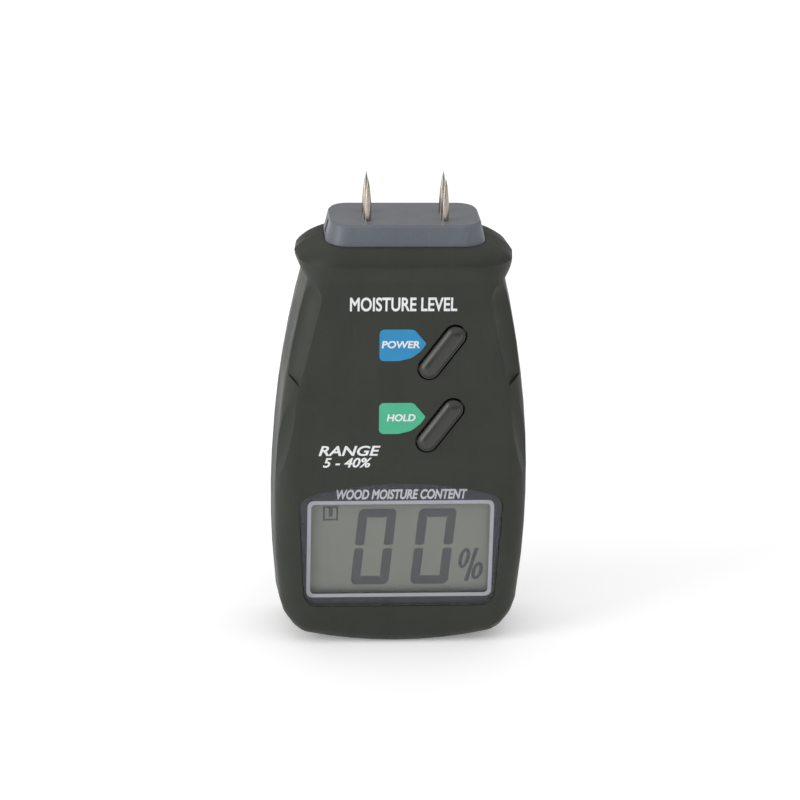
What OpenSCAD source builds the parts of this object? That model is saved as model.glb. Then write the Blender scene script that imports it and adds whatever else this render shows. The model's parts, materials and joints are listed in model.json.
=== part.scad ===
// Pin-type moisture meter for checking floor boards and subfloors, standing upright.
// Millimetres, +Z up along the meter, the display and keys face -Y.
// The foot of the case is on z = 0 and the four measuring pins point up.

/* [Case] */
// widest width of the case
case_w = 64.6; // [60:0.2:72]
// height of the case up to the foot of the pin head
case_h = 105; // [98:0.5:115]
// front-to-back depth of the case below the collar
case_d = 26.8; // [26:0.1:30]
// height at which the case is widest
wide_z = 38.3; // [30:0.5:45]
// width of the neck just under the collar
neck_w = 49.8; // [46:0.2:56]
// radius of the shallow arc along the bottom
bottom_r = 109; // [80:1:200]
// corner radius where a side runs into the bottom, seen from the front
corner_r = 7.5; // [5:0.5:10]
// rounding of the long front and back edges, across the width
edge_w = 6; // [4:0.5:8]
// rounding of the long front and back edges, across the depth
edge_d = 4.5; // [3:0.5:6]
// thickness of the plastic walls
wall = 2.2; // [1.8:0.1:2.6]

/* [Collar and pin head] */
// how far the collar bead stands out from the neck
bead_out = 2.1; // [1:0.1:3]
// height of the collar bead, from the neck to the foot of the head
bead_h = 8.5; // [7:0.5:10]
// extra rounding of the corners where the collar stands out
collar_round = 4; // [0:0.5:5]
// width of the pin head at its top
head_w = 37; // [32:0.5:40]
// depth of the pin head at its top
head_d = 19.8; // [17:0.1:21]
// height of the pin head above the collar
head_h = 5.2; // [4:0.2:8]
// how much wider the head is at its foot than at its top, in all
head_draft = 2.4; // [0:0.2:3]
// spacing of the pins across the meter
pin_x = 19; // [14:0.5:24]
// spacing of the pins from front to back
pin_y = 6.8; // [5:0.2:9]
// how far the middle of the pins sits in front of the middle of the head
pin_forward = 2; // [0:0.2:3]
// diameter of a measuring pin
pin_dia = 1.8; // [1.4:0.1:2.4]
// length of a pin above the head
pin_out = 10.6; // [8:0.5:14]

/* [Display] */
// width of the window frame printed on the lens
view_w = 47.2; // [40:0.2:48]
// height of the window frame printed on the lens
view_h = 26.5; // [20:0.5:28]
// height of the lower edge of the window frame
view_z = 13; // [12:0.1:16]
// thickness of the clear lens
lens_t = 1.1; // [0.8:0.1:1.2]

/* [Keys] */
// height of the power key
power_z = 78.7; // [76:0.1:80]
// height of the hold key
hold_z = 59.5; // [57:0.1:61]
// distance of both keys to the right of the middle
key_x = 9.05; // [6:0.05:10]
// length of a key
key_len = 15.4; // [12:0.2:18]
// width of a key
key_w = 4.9; // [4:0.1:7]
// lean of the keys to the right, in degrees
key_lean = 36; // [0:1:60]
// travel of a key
key_travel = 0.5; // [0.2:0.1:0.8]

/* [Battery bay] */
// diameter of one AAA cell
cell_dia = 10.5; // [10:0.1:10.6]
// length of one AAA cell with its nub
cell_len = 44.5; // [43:0.1:45]
// distance between neighbouring cells
cell_pitch = 11.2; // [10.8:0.1:11.4]
// length of the bay between the end walls
bay_len = 52; // [50:0.5:54]
// height of the lower end wall of the bay
bay_z = 9; // [8.5:0.1:10]
// thickness of the battery door
door_t = 1.8; // [1.4:0.1:2]

/* [Hidden] */
$fn = 48;

// case
half_w = case_w / 2;
half_d = case_d / 2;
foot_sink = 0.3;
bottom_edge_r = 4;
side_lean = 0.6;
seam_depth = 0.35;
seam_half = 0.3;
bead_from = case_h - bead_h;
neck_in = half_w - neck_w / 2;
side_r = (pow(bead_from - wide_z, 2) + pow(neck_in, 2)) / (2 * neck_in);
bead_z = case_h - 4;
bead_deep = 0.85;
front_in = -half_d + wall;
back_in = half_d - wall;

// pin head
head_foot_w = head_w + head_draft;
head_foot_d = head_d + head_draft / 2;
head_foot_r = 6;
head_top_z = case_h + head_h;
flange_top = case_h - wall;
flange_t = 2.4;
flange_w = head_foot_w + 3;
flange_d = 2 * back_in - 0.4;
skirt_z = flange_top - 9;
pin_r = pin_dia / 2;
shank_r = pin_r + 0.3;
pin_mid_y = -pin_forward;
pin_low_z = skirt_z - 3;
tip_len = 6.9;
socket_r = 2;
socket_len = 5;

// display stack, front to back
lens_front = -half_d + 0.15;
lens_back = lens_front + lens_t;
tape_t = 0.2;
pocket_back = lens_back + tape_t;
lcd_front = front_in + 0.3;
glass_t = 1.1;
board_front = -5.6;
board_t = 1.6;
board_back = board_front + board_t;
board_top = case_h - 18.4;
lcd_w = view_w + 0.6;
lcd_low = view_z - 1.2;
lcd_h = view_h + 2.6;
zebra_h = 2;

// keys and switches
key_r = key_w / 2;
key_half = key_len / 2 - key_r;
key_gap = 0.55;
key_crown = 1.5;
flange_out = 1.2;
key_flange = 0.8;
key_back = front_in + 0.1 + key_flange;
switch_front = board_front - 3.5;
plunger_r = 1.75;
plunger_in = 0.9;

// battery bay and door
bay_half = 2 * cell_pitch + 0.5;
bay_wall = 1.4;
bay_top = bay_z + bay_len;
cell_r = cell_dia / 2;
cell_y = 4.2;
bay_front = cell_y - cell_r - 0.3;
contact_t = 0.4;
nub_h = 0.8;
dimple_h = 0.5;
spring_len = bay_len - 2 * contact_t - dimple_h - cell_len;
hinge_r = door_t;
hinge_y = half_d - door_t;
hinge_z = bay_z - 0.4;
door_half = bay_half + 0.2;
door_gap = 0.3;
door_top = bay_top + 1.6;

// fasteners
case_screws = [[24.5, case_h - 37], [18.3, case_h - 15]];
board_posts = [[22.2, 51], [18.4, board_top - 4]];

// height of a shallow arc of radius r above its lowest point, x away from it
function arc_rise(r, x) = r - sqrt(r * r - x * x);

// how far the collar stands out at height z: 0 at the neck, 1 at the bead, 0 at the head
function collar_share(z) =
  z <= bead_from ? 0
  : z <= bead_z ? sin(90 * (z - bead_from) / (bead_z - bead_from))
  : pow(1 - pow(min(1, (z - bead_z) / (case_h - bead_z)), 1.35), 0.74);

// half width of the case at height z, shrunk by inset for the inside of the shell
function half_width(z, inset) =
  let (neck = half_w - arc_rise(side_r, bead_from - wide_z), top = head_foot_w / 2 + 0.6)
  (z <= bead_from ? half_w - arc_rise(side_r, z - wide_z)
    : z <= bead_z ? neck + bead_out * collar_share(z)
    : top + (neck + bead_out - top) * collar_share(z))
  - inset;

// half depth of the case at height z, shrunk by inset for the inside of the shell
function half_depth(z, inset) =
  let (top = head_foot_d / 2 + 0.3)
  (z <= bead_z ? half_d + bead_deep * collar_share(z)
    : top + (half_d + bead_deep - top) * collar_share(z))
  - inset;

// height of the bottom surface under a point x from the middle
function bottom_at(x, inset) = arc_rise(bottom_r, min(abs(x), half_w)) - foot_sink + inset;

// Half of a level cut through the case, from the right parting line to the left one.
// Each step is [turn, along]: the turn of the surface round the corner from 0 (side) to 90
// (face), and the share of the way along the flat face from right (1) to left (-1).
// A turn of -1 is the bottom of the shallow groove on the parting line, and -2 is its lip.
corner_steps = 7;
face_steps = 8;
half_steps = concat(
  [[-1, 1], [-2, 1]],
  [for (i = [0:corner_steps]) [90 * i / corner_steps, 1]],
  [for (i = [1:face_steps - 1]) [90, 1 - 2 * i / face_steps]],
  [for (i = [corner_steps:-1:0]) [90 * i / corner_steps, -1]],
  [[-2, -1], [-1, -1]]
);

// One point of that cut, on the front half (side = -1) or the back half (side = 1).
// The groove runs up the outer skin only, and fades out towards the foot.
function cut_point(step, z, inset, side) =
  let (
    w = half_width(z, inset),
    d = half_depth(z, inset),
    rx = edge_w + collar_round * collar_share(z) - inset * 0.5,
    ry = edge_d + collar_round * collar_share(z) - inset * 0.5,
    turn = max(step[0], 0),
    x = w - side_lean - rx * (1 - cos(turn)),
    groove = inset > 0 ? 0 : seam_depth * min(1, max(0, z - 9) / 8)
  )
  step[0] == -1 ? [step[1] * (w - groove), 0]
  : step[0] == -2 ? [step[1] * (w - 0.05), side * seam_half]
  : [x * step[1], side * (d - ry * (1 - sin(turn)))];

// One ring of the shell. Rings from 0 to 1 in lift run round the bottom edge, from the
// bottom to the wall; a ring with a height instead is level.
function ring(lift, z, inset, side) = [
  for (step = half_steps)
    let (
      turn = max(step[0], 0),
      r = bottom_edge_r + (corner_r - bottom_edge_r) * pow(cos(turn), 2) - inset,
      level = cut_point(step, wide_z / 3, inset, side),
      base = bottom_at(level[0], inset),
      in = r * (1 - sin(90 * lift)),
      nx = step[0] < 0 ? 1 : cos(turn),
      ny = step[0] < 0 ? 0 : sin(turn),
      low = base + r * (1 - cos(90 * lift)),
      edge = cut_point(step, low, inset, side),
      bent = [edge[0] - sign(step[1]) * nx * in, edge[1] - side * ny * in]
    )
    z > 0 ? concat(cut_point(step, z, inset, side), z)
          : [bent[0], bent[1], lift < 1 ? bottom_at(bent[0], inset) + r * (1 - cos(90 * lift)) : low]
];

// Half of the case as one closed shell: an outer and an inner skin of rings, joined by a
// flat rim on the parting plane y = 0. side = -1 is the front half, side = 1 the back half.
module case_half(side) {
  lifts = [0, 0.25, 0.5, 0.75, 1];
  levels = concat([for (i = [1:10]) 15 + i * (bead_from - 15) / 10],
    [for (i = [1:5]) bead_from + i * (bead_z - bead_from) / 5],
    [for (i = [1:7]) bead_z + (case_h - bead_z) * sin(90 * i / 7)]);
  last = len(lifts) + len(levels) - 1;
  n = len(half_steps);
  outer = concat([for (l = lifts) ring(l, 0, 0, side)], [for (z = levels) ring(1, z, 0, side)]);
  inner = concat([for (l = lifts) ring(l, 0, wall, side)], [for (z = levels)
    [for (p = ring(1, min(z, bead_from), wall, side)) [p[0], p[1], z * flange_top / case_h]]]);
  floor_line = [for (skin = [outer, inner]) for (i = [0:n - 1]) [skin[0][i][0], 0, skin[0][i][2]]];
  points = concat([for (skin = [outer, inner]) for (r = skin) for (p = r) p], floor_line);
  in = (last + 1) * n;
  line = 2 * in;
  skin_faces = [for (at = [0, in]) for (k = [0:last - 1]) for (i = [0:n - 2])
    let (a = at + k * n + i)
    each flip(at > 0, [[a, a + 1, a + n + 1], [a, a + n + 1, a + n]])];
  floor_faces = [for (at = [0, 1]) for (i = [1:n - 3])
    let (a = at * in + i, b = line + at * n + i)
    each flip(at > 0, [[a, b, b + 1], [a, b + 1, a + 1]])];
  floor_ends = [for (at = [0, 1]) let (a = at * in, b = line + at * n)
    each flip(at > 0, [[a, b + 1, a + 1], [a + n - 2, b + n - 2, a + n - 1]])];
  rim_sides = [for (k = [0:last - 1]) let (a = k * n, b = k * n + n - 1)
    each [[a, a + n, in + a + n], [a, in + a + n, in + a], [b, in + b + n, b + n], [b, in + b, in + b + n]]];
  rim_floor = [for (i = [1:n - 3]) let (a = line + i, b = line + n + i)
    each [[a, b, b + 1], [a, b + 1, a + 1]]];
  rim_corners = let (a = line + 1, b = line + n - 2)
    [[0, in, a + n], [0, a + n, a], [n - 1, b, b + n], [n - 1, b + n, in + n - 1]];
  t = last * n;
  tops = [[for (i = [0:n - 1]) t + i], [for (i = [n - 1:-1:0]) in + t + i],
    [t, t + n - 1, in + t + n - 1], [t, in + t + n - 1, in + t]];
  polyhedron(points = points,
    faces = flip(side > 0,
      concat(tops, rim_corners, rim_floor, rim_sides, floor_ends, floor_faces, skin_faces)));
}

// the faces turned inside out when on is true
function flip(on, faces) = on ? [for (f = faces) [for (i = [len(f) - 1:-1:0]) f[i]]] : faces;

// ---- small shapes used by several pieces ----

// a rod along the depth, from y = from to y = to
module rod_y(x, z, r, from, to) {
  translate([x, from, z]) rotate([-90, 0, 0]) cylinder(r = r, h = to - from);
}

// a box given by its near and far corners
module block(from, to) {
  translate(from) cube(to - from);
}

// a plate with rounded corners, seen from the front
module rounded_plate(w, low, high, r, from, to) {
  translate([0, to, 0]) rotate([90, 0, 0]) linear_extrude(height = to - from)
    rounded_outline(w, low, high, r);
}

module rounded_outline(w, low, high, r) {
  union() {
    translate([-w / 2 + r, low]) square([w - 2 * r, high - low]);
    translate([-w / 2, low + r]) square([w, high - low - 2 * r]);
    for (x = [-w / 2 + r, w / 2 - r]) for (z = [low + r, high - r]) translate([x, z]) circle(r = r);
  }
}

// outline of the lens: narrower at the bottom, with round shoulders under a shallow arch
module lens_outline(grow) {
  side = view_w / 2 + 1.9 + grow;
  taper = 1.3;
  low = view_z - 2.4 - grow;
  peak = view_z + view_h + 4.4 + grow;
  low_r = 3.8 + grow;
  top_r = 3.8 + grow;
  arch_r = 84 + grow;
  arch_z = peak - arch_r;
  shoulder_x = side - top_r;
  shoulder_z = arch_z + sqrt(pow(arch_r - top_r, 2) - pow(shoulder_x, 2));
  meet_x = shoulder_x * arch_r / (arch_r - top_r);
  union() {
    polygon([[-side + taper, low + low_r], [side - taper, low + low_r],
      [side, shoulder_z], [-side, shoulder_z]]);
    translate([-side + taper + low_r, low]) square([2 * (side - taper - low_r), low_r + 0.1]);
    for (s = [-1, 1]) {
      translate([s * (side - taper - low_r), low + low_r]) circle(r = low_r);
      translate([s * shoulder_x, shoulder_z]) circle(r = top_r);
    }
    intersection() {
      translate([0, arch_z]) circle(r = arch_r);
      translate([-meet_x, shoulder_z - 1]) square([2 * meet_x, peak]);
    }
  }
}

module lens_shape(grow, from, to) {
  translate([0, to, 0]) rotate([90, 0, 0]) linear_extrude(height = to - from) lens_outline(grow);
}

// outline of a key laid over to the right, grown by a clearance
module key_shape(z, grow, from, to) {
  translate([key_x, 0, z]) rotate([0, key_lean, 0]) union() {
    for (s = [-1, 1]) rod_y(0, s * key_half, key_r + grow, from, to);
    block([-key_r - grow, from, -key_half], [key_r + grow, to, key_half]);
  }
}

// ---- case ----

// middle of the rounded front edge at height z, on the side s, moved outwards by out
function edge_point(z, s, out) = [
  s * (half_width(z, 0) - side_lean - edge_w * (1 - cos(45)) + 0.6 * out),
  -half_d + edge_d * (1 - sin(45)) - 0.8 * out,
  z
];

// The long shallow finger scoop on each front edge ends in a slanted lip at its foot.
// The leaf below it is a short slanted hollow that crosses the same edge.
module finger_scoops() {
  lip_z = 71.2;
  scoop_r = 9;
  scoop_depth = 0.6;
  scoop_len = bead_from - 3.5 - lip_z;
  leaf_z = 59.5;
  leaf_r = 7;
  leaf_depth = 0.6;
  for (s = [-1, 1]) {
    intersection() {
      translate(edge_point(lip_z, s, scoop_r - scoop_depth)) rotate([-0.7, -s * 12, 0])
        translate([0, 0, -10]) cylinder(r = scoop_r, h = 10 + scoop_len);
      translate(edge_point(lip_z, s, 0)) rotate([0, -s * 43, 0])
        translate([-30, -half_d, 0]) cube([60, 3 * half_d, 60]);
    }
    translate(edge_point(lip_z, s, scoop_r - scoop_depth)) rotate([-0.7, -s * 12, 0])
      translate([0, 0, scoop_len]) sphere(r = scoop_r);
    translate(edge_point(leaf_z, s, leaf_r - leaf_depth)) rotate([12.5, -s * 17.4, 0])
      cylinder(r = leaf_r, h = 30, center = true);
  }
}

// a case half cut level along its foot and open at the top for the pin head
module trimmed_half(side) {
  difference() {
    case_half(side);
    block([-half_w, -2 * half_d, -5], [half_w, 2 * half_d, 0]);
    head_opening();
  }
}

module front_cover() color("dimgray") {
  difference() {
    union() {
      difference() {
        trimmed_half(-1);
        lens_shape(0.15, -half_d - 1, pocket_back);
        rounded_plate(view_w - 1.2, view_z + 0.6, view_z + view_h - 0.6, 1, -half_d - 1, front_in + 1);
        for (z = [power_z, hold_z]) key_shape(z, key_gap, -half_d - 1, front_in + 1);
        finger_scoops();
      }
      for (p = case_screws) for (s = [-1, 1]) rod_y(s * p[0], p[1], 2.8, front_in - 0.5, 0);
      for (p = board_posts) for (s = [-1, 1]) rod_y(s * p[0], p[1], 2, front_in - 0.5, board_front);
    }
    for (p = case_screws) for (s = [-1, 1]) rod_y(s * p[0], p[1], 1.1, -8, 1);
    for (p = board_posts) for (s = [-1, 1]) rod_y(s * p[0], p[1], 0.8, -9.6, board_front + 1);
  }
}

// opening in the collar for the pin head
module head_opening() {
  translate([0, 0, flange_top - 1]) linear_extrude(height = wall + 2)
    plan_outline(head_foot_w + 0.3, head_foot_d + 0.3, head_foot_r);
}

module plan_outline(w, d, r) {
  union() {
    square([w - 2 * r, d], center = true);
    square([w, d - 2 * r], center = true);
    for (x = [-1, 1]) for (y = [-1, 1]) translate([x * (w / 2 - r), y * (d / 2 - r)]) circle(r = r);
  }
}

module back_cover() color("dimgray") {
  wall_in = bay_half + 0.5;
  difference() {
    union() {
      trimmed_half(1);
      for (p = case_screws) for (s = [-1, 1]) rod_y(s * p[0], p[1], 3.2, 0, back_in + 0.5);
      block([-wall_in - bay_wall, bay_front - 1.2, bay_z - 3.2],
        [wall_in + bay_wall, half_d - 1, bay_top + 1.4]);
    }
    for (p = case_screws) for (s = [-1, 1]) {
      rod_y(s * p[0], p[1], 1.4, -1, half_d + 1);
      rod_y(s * p[0], p[1], 2.6, 3, half_d + 1);
    }
    block([-wall_in, bay_front, bay_z], [wall_in, half_d + 2, bay_top]);
    block([-wall_in, hinge_y - hinge_r - 0.3, bay_z - 2.5], [wall_in, half_d + 2, door_top + door_gap]);
    translate([0, hinge_y, hinge_z]) rotate([0, 90, 0]) cylinder(r = 1.1, h = 2 * wall_in + 2, center = true);
    for (i = [1, 4]) tab_slot(i);
  }
}

// slot through the bay wall for a contact tab
module tab_slot(i) {
  x = (i - 2.5) * cell_pitch;
  block([x - 1.8, bay_front - 2, bay_top - 0.8], [x + 1.8, bay_front + 0.5, bay_top]);
}

// ---- pin head ----

module head_block() color("slategray") {
  difference() {
    union() {
      hull() {
        translate([0, 0, case_h]) linear_extrude(height = 0.01)
          plan_outline(head_foot_w, head_foot_d, head_foot_r);
        translate([0, 0, head_top_z - 0.5]) linear_extrude(height = 0.01)
          plan_outline(head_w, head_d, 5);
        translate([0, 0, head_top_z - 0.01]) linear_extrude(height = 0.01)
          plan_outline(head_w - 1, head_d - 1, 4.5);
      }
      translate([0, 0, flange_top - 0.5]) linear_extrude(height = wall + 0.505)
        plan_outline(head_foot_w, head_foot_d, head_foot_r);
      translate([0, 0, flange_top - 0.1 - flange_t]) linear_extrude(height = flange_t)
        plan_outline(flange_w, flange_d, 4);
      translate([0, 0, skirt_z]) linear_extrude(height = flange_top - skirt_z - 1)
        plan_outline(pin_x + 8, flange_d - 2, 3);
    }
    for (x = [-1, 1]) for (y = [-1, 1]) translate([x * pin_x / 2, pin_mid_y + y * pin_y / 2, 0]) {
      translate([0, 0, skirt_z - 1]) cylinder(r = shank_r, h = head_top_z - skirt_z + 2);
      translate([0, 0, skirt_z - 1]) cylinder(r = socket_r, h = socket_len + 1);
    }
    for (s = [-1, 1]) translate([s * (head_w / 2 + 0.8), 0, head_top_z - 3])
      cube([3, 2.6, 3.2], center = true);
  }
}

// a measuring pin: a thick shank held in the head, and the ground point above it
module pin(x, y) color("silver") {
  translate([x * pin_x / 2, pin_mid_y + y * pin_y / 2, 0]) rotate_extrude()
    polygon([[0, pin_low_z], [shank_r, pin_low_z], [shank_r, head_top_z], [pin_r, head_top_z],
      [pin_r, head_top_z + pin_out - tip_len],
      [pin_r * 0.8, head_top_z + pin_out - tip_len * 0.66],
      [pin_r * 0.48, head_top_z + pin_out - tip_len * 0.3],
      [0, head_top_z + pin_out]]);
}

module pin_front_left() pin(-1, -1);
module pin_front_right() pin(1, -1);
module pin_rear_left() pin(-1, 1);
module pin_rear_right() pin(1, 1);

// brass sleeves moulded into the head that hold and connect the pins
module pin_sockets() color("gold") {
  for (x = [-1, 1]) for (y = [-1, 1])
    translate([x * pin_x / 2, pin_mid_y + y * pin_y / 2, skirt_z]) difference() {
      cylinder(r = socket_r, h = socket_len);
      translate([0, 0, -1]) cylinder(r = shank_r, h = socket_len + 2);
    }
}

// brass strip under the head that joins the two pins of one side
module pin_strap(s) color("gold") {
  difference() {
    translate([s * pin_x / 2 - 2.2, pin_mid_y - pin_y / 2 - 2.2, skirt_z - 0.6])
      cube([4.4, pin_y + 4.4, 0.6]);
    for (y = [-1, 1]) translate([s * pin_x / 2, pin_mid_y + y * pin_y / 2, skirt_z - 1])
      cylinder(r = shank_r, h = 2);
  }
}

module left_pin_strap() pin_strap(-1);
module right_pin_strap() pin_strap(1);

// short insulated wire from a strap down to a hole in the board
module lead(s) color("firebrick") {
  wire_r = 0.6;
  bend_r = 1.4;
  x = s * pin_x / 2;
  y = pin_mid_y - 0.4;
  low_z = board_top - 2.4;
  translate([x, y, low_z + bend_r]) cylinder(r = wire_r, h = skirt_z - 0.6 - low_z - bend_r);
  translate([x, y - bend_r, low_z + bend_r]) rotate([0, 90, 0]) rotate_extrude(angle = 90)
    translate([bend_r, 0]) circle(r = wire_r, $fn = 24);
  rod_y(x, low_z, wire_r, board_front - 0.4, y - bend_r);
}

module left_lead() lead(-1);
module right_lead() lead(1);

// ---- display ----

module display_lens() color("lightsteelblue") lens_shape(0, lens_front, lens_back);

// double-sided adhesive ring between the lens and the case
module lens_tape() color("black") difference() {
  lens_shape(-0.3, lens_back, pocket_back);
  rounded_plate(view_w - 0.8, view_z + 0.4, view_z + view_h - 0.4, 1, lens_back - 1, pocket_back + 1);
}

module lcd_front_glass() color("lightgray")
  block([-lcd_w / 2, lcd_front, lcd_low - zebra_h - 0.1], [lcd_w / 2, lcd_front + glass_t, lcd_low + lcd_h]);

module lcd_rear_glass() color("lightgray")
  block([-lcd_w / 2, lcd_front + glass_t, lcd_low + 0.4],
    [lcd_w / 2, lcd_front + 2 * glass_t, lcd_low + lcd_h]);

module lcd_reflector() color("silver")
  block([-lcd_w / 2 + 0.5, lcd_front + 2 * glass_t, lcd_low + 0.9],
    [lcd_w / 2 - 0.5, lcd_front + 2 * glass_t + 0.2, lcd_low + lcd_h - 0.5]);

// plastic tray that holds the glass on the board
module lcd_frame() color("white") difference() {
  rounded_plate(lcd_w + 2, lcd_low - zebra_h - 1.4, lcd_low + lcd_h + 1, 3, lcd_front - 0.1, board_front);
  block([-lcd_w / 2 - 0.1, lcd_front - 1, lcd_low - zebra_h - 0.2],
    [lcd_w / 2 + 0.1, lcd_front + 2 * glass_t + 0.3, lcd_low + lcd_h + 0.1]);
  block([-lcd_w / 2 + 1.4, lcd_front, lcd_low + 2], [lcd_w / 2 - 1.4, board_front + 1, lcd_low + lcd_h - 2]);
  block([-lcd_w / 2 + 2.4, lcd_front, lcd_low - zebra_h - 0.15],
    [lcd_w / 2 - 2.4, board_front + 1, lcd_low - 0.05]);
}

// conductive rubber strip from the glass ledge to the board
module zebra_strip() color("dimgray")
  block([-lcd_w / 2 + 2.6, lcd_front + glass_t, lcd_low - zebra_h],
    [lcd_w / 2 - 2.6, board_front, lcd_low - 0.2]);

// ---- board ----

module circuit_board() color("darkgreen") {
  wide = lcd_w / 2 + 1.4;
  narrow = case_screws[0][0] - 3.3;
  difference() {
    translate([0, board_back, 0]) rotate([90, 0, 0]) linear_extrude(height = board_t) polygon([
      [-wide, lcd_low - zebra_h - 1.6], [wide, lcd_low - zebra_h - 1.6],
      [wide, case_screws[0][1] - 8], [narrow, case_screws[0][1] - 3.6],
      [narrow, board_top], [-narrow, board_top],
      [-narrow, case_screws[0][1] - 3.6], [-wide, case_screws[0][1] - 8]]);
    for (p = board_posts) for (s = [-1, 1]) rod_y(s * p[0], p[1], 1.1, board_front - 1, board_back + 1);
    for (s = [-1, 1]) rod_y(s * pin_x / 2, board_top - 2.4, 0.6, board_front - 1, board_back + 1);
  }
}

module controller_chip() color("black") {
  w = 7;
  z = 73;
  block([-13 - w / 2, board_back + 0.1, z - w / 2], [-13 + w / 2, board_back + 1.2, z + w / 2]);
  for (i = [-3:3]) for (s = [-1, 1]) {
    block([-13 + s * (w / 2 + 0.4) - 0.5, board_back, z + i * 0.9 - 0.2],
      [-13 + s * (w / 2 + 0.4) + 0.5, board_back + 0.4, z + i * 0.9 + 0.2]);
    block([-13 + i * 0.9 - 0.2, board_back, z + s * (w / 2 + 0.4) - 0.5],
      [-13 + i * 0.9 + 0.2, board_back + 0.4, z + s * (w / 2 + 0.4) + 0.5]);
  }
}

module board_capacitors() color("tan")
  for (p = [[-2, 71], [-2, 74], [-2, 77], [1.5, 72.5], [1.5, 75.5], [-12, 81.5], [-9, 66]])
    block([p[0] - 0.8, board_back, p[1] - 0.5], [p[0] + 0.8, board_back + 0.8, p[1] + 0.5]);

// ---- keys and switches ----

module switch_body(z) color("darkslategray") difference() {
  block([key_x - 3, switch_front, z - 3], [key_x + 3, board_front, z + 3]);
  rod_y(key_x, z, plunger_r + 0.1, switch_front - 1, switch_front + plunger_in + key_travel + 0.2);
}

module power_switch() switch_body(power_z);
module hold_switch() switch_body(hold_z);

module switch_plunger(z) color("dimgray")
  rod_y(key_x, z, plunger_r, key_back + 0.05, switch_front + plunger_in);

module power_plunger() switch_plunger(power_z);
module hold_plunger() switch_plunger(hold_z);

// moulded key: a crowned cap through the front and a flange behind it
module key(z) color("gainsboro") {
  crown_r = (pow(key_r, 2) + pow(key_crown, 2)) / (2 * key_crown);
  intersection() {
    key_shape(z, 0, -half_d - key_crown, key_back - key_flange);
    translate([key_x, -half_d - key_crown + crown_r, z]) rotate([0, key_lean, 0]) union() {
      cylinder(r = crown_r, h = 2 * key_half, center = true);
      for (s = [-1, 1]) translate([0, 0, s * key_half]) sphere(r = crown_r);
      block([-key_r - 1, -crown_r * 0.6, -key_len], [key_r + 1, crown_r * 2, key_len]);
    }
  }
  key_shape(z, flange_out, key_back - key_flange, key_back);
}

module power_key() key(power_z);
module hold_key() key(hold_z);

// ---- battery bay ----

// door for the back, hung on two stub pins at its lower edge
module battery_door() color("dimgray") difference() {
  union() {
    block([-door_half, hinge_y, hinge_z], [door_half, half_d, door_top]);
    rotate([0, 90, 0]) translate([-hinge_z, hinge_y, 0]) {
      cylinder(r = hinge_r, h = 2 * door_half, center = true);
      cylinder(r = 1, h = 2 * (door_half + 1.3), center = true);
    }
    block([-6, hinge_y - 1.2, bay_top - 1.6], [6, hinge_y, bay_top - 0.4]);
  }
  for (i = [0:4])
    block([-5, half_d - 0.4, door_top - 3 - 1.6 * i], [5, half_d + 1, door_top - 2.2 - 1.6 * i]);
}

// one cell; up = 1 puts its nub at the top, up = -1 at the bottom
module cell(i, up) color("goldenrod") {
  x = (i - 2.5) * cell_pitch;
  mid = bay_z + bay_len / 2;
  translate([x, cell_y, mid + up * (bay_len / 2 - contact_t - dimple_h)]) mirror([0, 0, up > 0 ? 1 : 0]) {
    translate([0, 0, nub_h]) cylinder(r = cell_r, h = cell_len - nub_h);
    cylinder(r = 1.9, h = nub_h + 0.01);
  }
}

module cell_1() cell(1, 1);
module cell_2() cell(2, -1);
module cell_3() cell(3, 1);
module cell_4() cell(4, -1);

// coil spring of flat contacts, its foot at z = 0 and its axis on z
module coil(h) {
  turns = 4;
  steps = 12;
  ring = 5;
  n = turns * steps;
  wire_r = 0.35;
  points = [
    for (i = [0:n]) for (k = [0:ring - 1])
      let (a = 360 * i / steps, b = 360 * k / ring, r = 3.2 - 1.2 * i / n + wire_r * cos(b))
      [r * cos(a), r * sin(a), wire_r + (h - 2 * wire_r) * i / n + wire_r * sin(b)]
  ];
  faces = concat(
    [for (i = [0:n - 1]) for (k = [0:ring - 1])
      [i * ring + k, i * ring + (k + 1) % ring, (i + 1) * ring + (k + 1) % ring, (i + 1) * ring + k]],
    [[for (k = [ring - 1:-1:0]) k], [for (k = [0:ring - 1]) n * ring + k]]
  );
  polyhedron(points = points, faces = faces);
}

// a contact strip at one end of the bay; end = 1 is the top. plus and minus are cell numbers.
module contact(end, plus, minus, low, high) color("silver") {
  mid = bay_z + bay_len / 2;
  translate([0, cell_y, mid + end * bay_len / 2]) mirror([0, 0, end > 0 ? 1 : 0]) {
    block([(low - 2.5) * cell_pitch - 4.4, -4.4, 0], [(high - 2.5) * cell_pitch + 4.4, 4.4, contact_t]);
    for (i = plus) translate([(i - 2.5) * cell_pitch, 0, 0]) cylinder(r = 2, h = contact_t + dimple_h);
    for (i = minus) translate([(i - 2.5) * cell_pitch, 0, contact_t - 0.05]) coil(spring_len + 0.05);
  }
}

// tab from an end contact through the bay wall to the board
module contact_tab(i) color("silver") {
  x = (i - 2.5) * cell_pitch;
  block([x - 1.5, board_back, bay_top - contact_t], [x + 1.5, cell_y - 4.3, bay_top]);
}

module plus_contact() {
  contact(1, [1], [], 1, 1);
  contact_tab(1);
}

module minus_contact() {
  contact(1, [], [4], 4, 4);
  contact_tab(4);
}

module top_bridge() contact(1, [3], [2], 2, 3);
module lower_left_bridge() contact(-1, [2], [1], 1, 2);
module lower_right_bridge() contact(-1, [4], [3], 3, 4);

// ---- screws ----

// a cross-recessed screw driven from the back; its head starts at y = seat
module screw(x, z, r, head_r, head_t, seat, tip) {
  difference() {
    union() {
      rod_y(x, z, r, tip, seat + 0.01);
      rod_y(x, z, head_r, seat, seat + head_t);
    }
    for (turn = [0, 90]) translate([x, seat + head_t, z]) rotate([0, turn, 0])
      cube([head_r * 1.2, head_t, head_r * 0.3], center = true);
  }
}

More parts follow.
